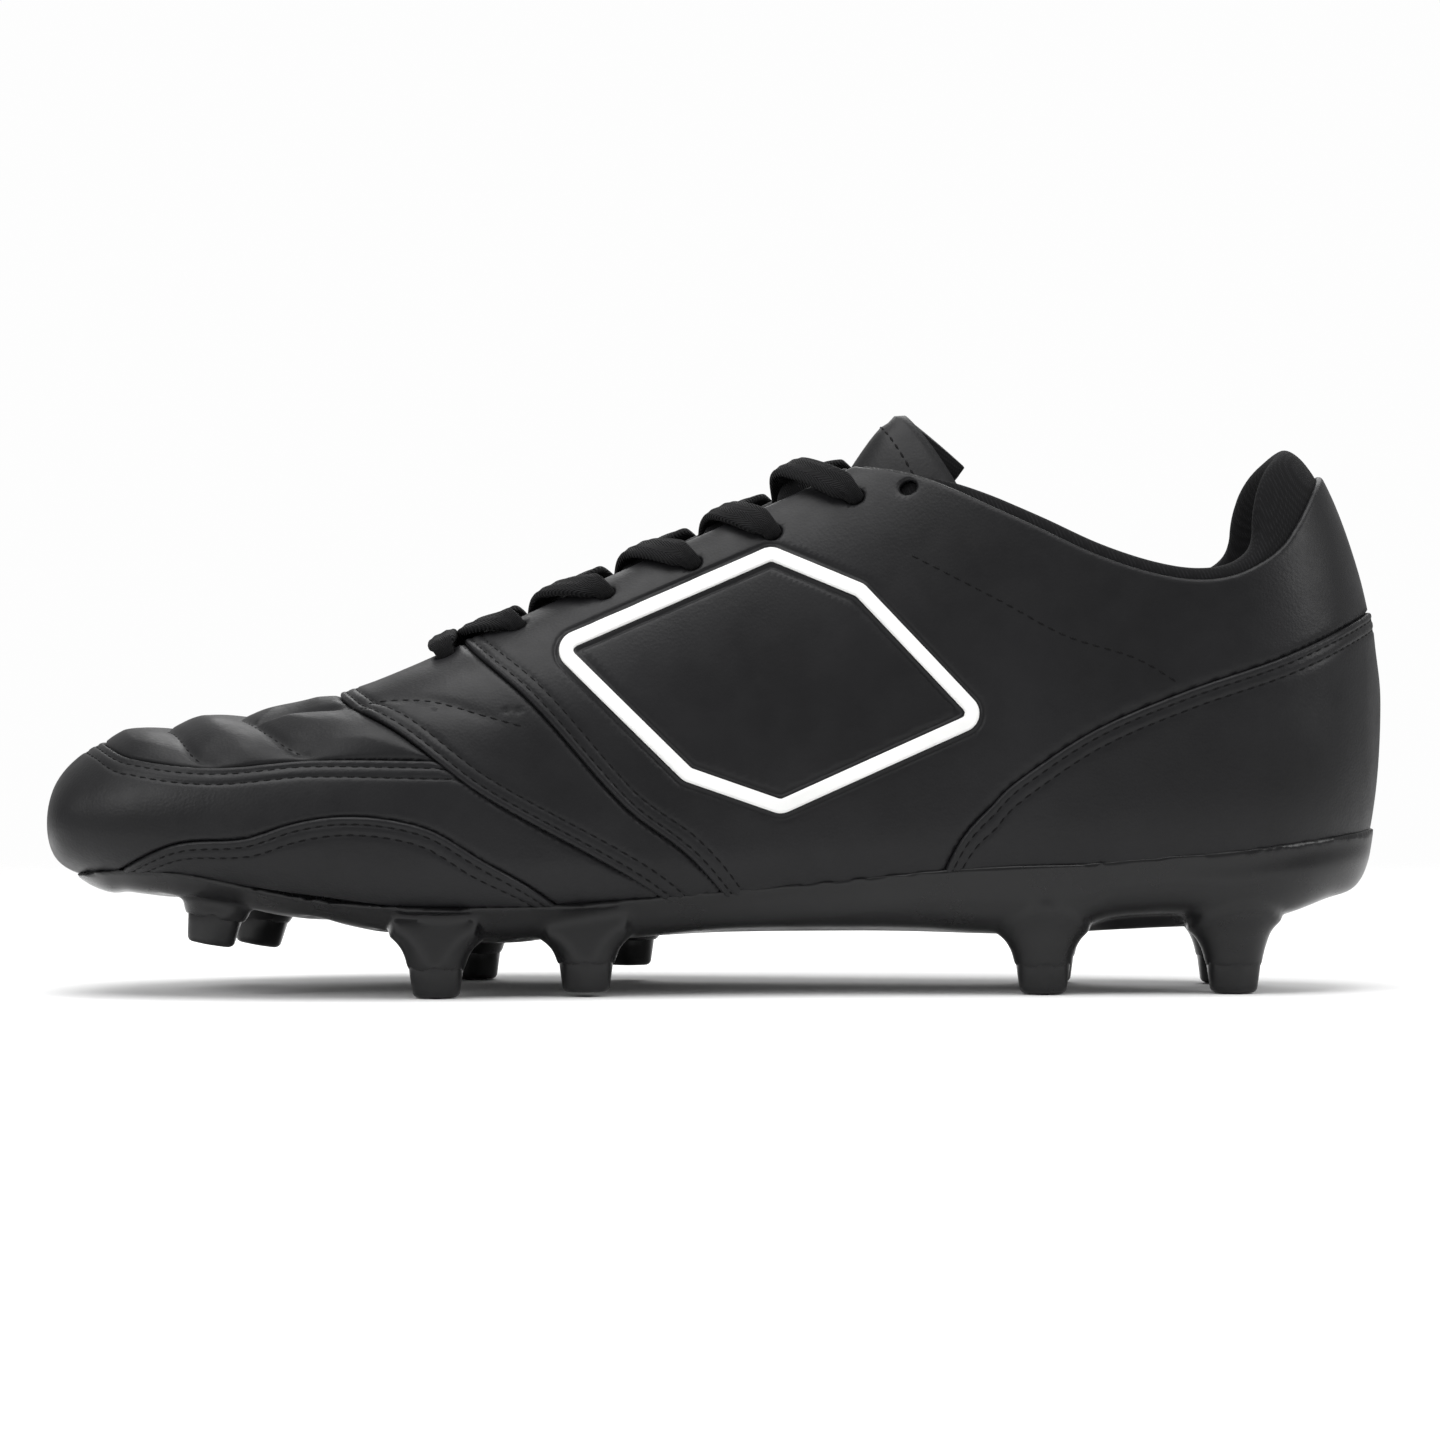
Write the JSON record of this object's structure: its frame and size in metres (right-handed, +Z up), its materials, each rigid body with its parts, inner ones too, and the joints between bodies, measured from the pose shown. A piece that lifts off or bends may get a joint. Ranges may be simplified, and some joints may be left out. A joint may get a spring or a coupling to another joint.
{
  "type": "soccer cleat",
  "caption": "Low-cut firm-ground soccer shoe with a quilted leather toe, laced throat, padded tongue and ankle collar, and a moulded plate with conical studs.",
  "frame": {"origin": "on the ground under the middle of the shoe's box", "axes": "+X from toe to heel, +Y to the outer side of the foot, +Z up"},
  "size_m": [0.2866, 0.0989, 0.1256],
  "materials": {
    "black_leather": "smooth coated leather with a soft sheen",
    "outsole_tpu": "moulded plastic, half gloss",
    "lining_textile": "brushed knitted lining",
    "foam": "open-cell padding foam",
    "stiffener_board": "pressed fibre board",
    "lace_textile": "flat woven lace",
    "aglet_plastic": "shrunk plastic tube",
    "white_print": "raised white film"
  },
  "bodies": {
    "upper": {"aglet_lateral": "aglet_plastic", "aglet_medial": "aglet_plastic", "collar_foam": "foam", "collar_lining": "lining_textile", "emblem_lateral": "white_print", "emblem_medial": "white_print", "heel_counter": "stiffener_board", "heel_foxing": "black_leather", "lace": "lace_textile", "mudguard_lateral": "black_leather", "mudguard_medial": "black_leather", "outsole_plate": "outsole_tpu", "quarter_backing_lateral": "stiffener_board", "quarter_backing_medial": "stiffener_board", "quarter_lateral": "black_leather", "quarter_lining": "lining_textile", "quarter_medial": "black_leather", "quilted_vamp": "black_leather", "strobel_board": "stiffener_board", "stud_tip_ball_lateral": "outsole_tpu", "stud_tip_ball_medial": "outsole_tpu", "stud_tip_heel_front_lateral": "outsole_tpu", "stud_tip_heel_front_medial": "outsole_tpu", "stud_tip_heel_rear_lateral": "outsole_tpu", "stud_tip_heel_rear_medial": "outsole_tpu", "stud_tip_toe_lateral": "outsole_tpu", "stud_tip_toe_medial": "outsole_tpu", "stud_tip_waist_lateral": "outsole_tpu", "stud_tip_waist_medial": "outsole_tpu", "toe_puff": "stiffener_board", "toe_wrap": "black_leather", "vamp_foam": "foam", "vamp_lining": "lining_textile", "vamp_saddle": "black_leather"},
    "tongue": {"tongue_foam": "foam", "tongue_leather": "black_leather", "tongue_lining": "lining_textile"},
    "insole": {"sockliner_cover": "lining_textile", "sockliner_foam": "foam"}
  },
  "joints": [
    {"name": "tongue_hinge", "type": "hinge", "parent": "upper", "child": "tongue", "pos_m": [-0.066, -0.0115, 0.06], "axis": [0, 1, 0], "range_deg": [0, 6]},
    {"name": "insole_lift", "type": "hinge", "parent": "upper", "child": "insole", "pos_m": [-0.1365, 0, 0.0285], "axis": [0, -1, 0], "range_deg": [0, 5]}
  ]
}
